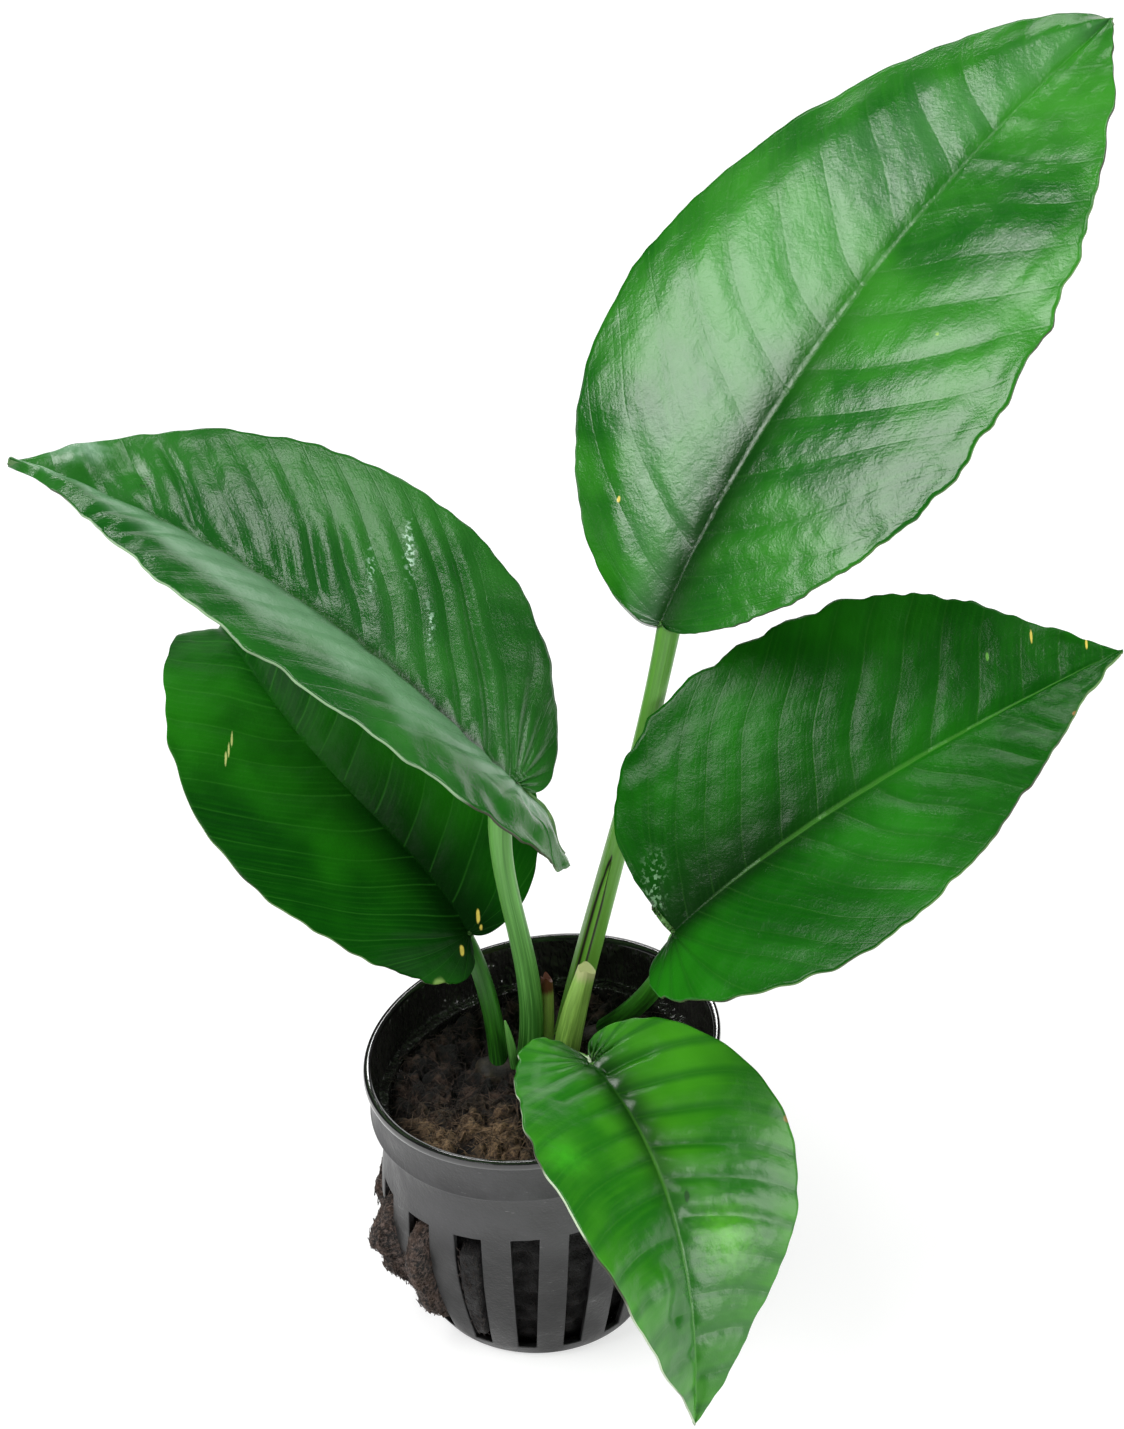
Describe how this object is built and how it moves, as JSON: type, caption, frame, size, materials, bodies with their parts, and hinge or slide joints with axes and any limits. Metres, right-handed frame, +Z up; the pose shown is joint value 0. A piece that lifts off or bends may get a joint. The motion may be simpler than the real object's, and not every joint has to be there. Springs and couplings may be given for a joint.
{
  "type": "potted anubias",
  "caption": "Broad-leaved water plant with folded ovate leaves on stalks, growing from a rhizome on rock wool in a black slotted net pot.",
  "frame": {"origin": "centre of the pot's flat base, on the surface that it stands on", "axes": "+Z up, -Y towards the front of the plant, +X to the right as seen from the front"},
  "size_m": [0.1602, 0.119, 0.1854],
  "materials": {
    "pot_plastic": "soft black plastic, matt outside and wet inside",
    "wool": "wet brown fibre",
    "bark": "rough living stem",
    "leaf_green": "glossy living leaf",
    "stalk_green": "satin living stalk",
    "stub_green": "pale fibrous cut stalk"
  },
  "bodies": {
    "root": {"net_pot": "pot_plastic", "rock_wool": "wool", "rhizome": "bark", "stalk_upper_right": "stalk_green", "stalk_upper_left": "stalk_green", "stalk_lower_left": "stalk_green", "stalk_right": "stalk_green", "stalk_front": "stalk_green", "leaf_upper_right": "leaf_green", "leaf_upper_left": "leaf_green", "leaf_lower_left": "leaf_green", "leaf_right": "leaf_green", "leaf_front": "leaf_green", "stub_thick": "stub_green", "stub_thin": "stub_green", "young_sheath": "stalk_green"}
  },
  "joints": []
}
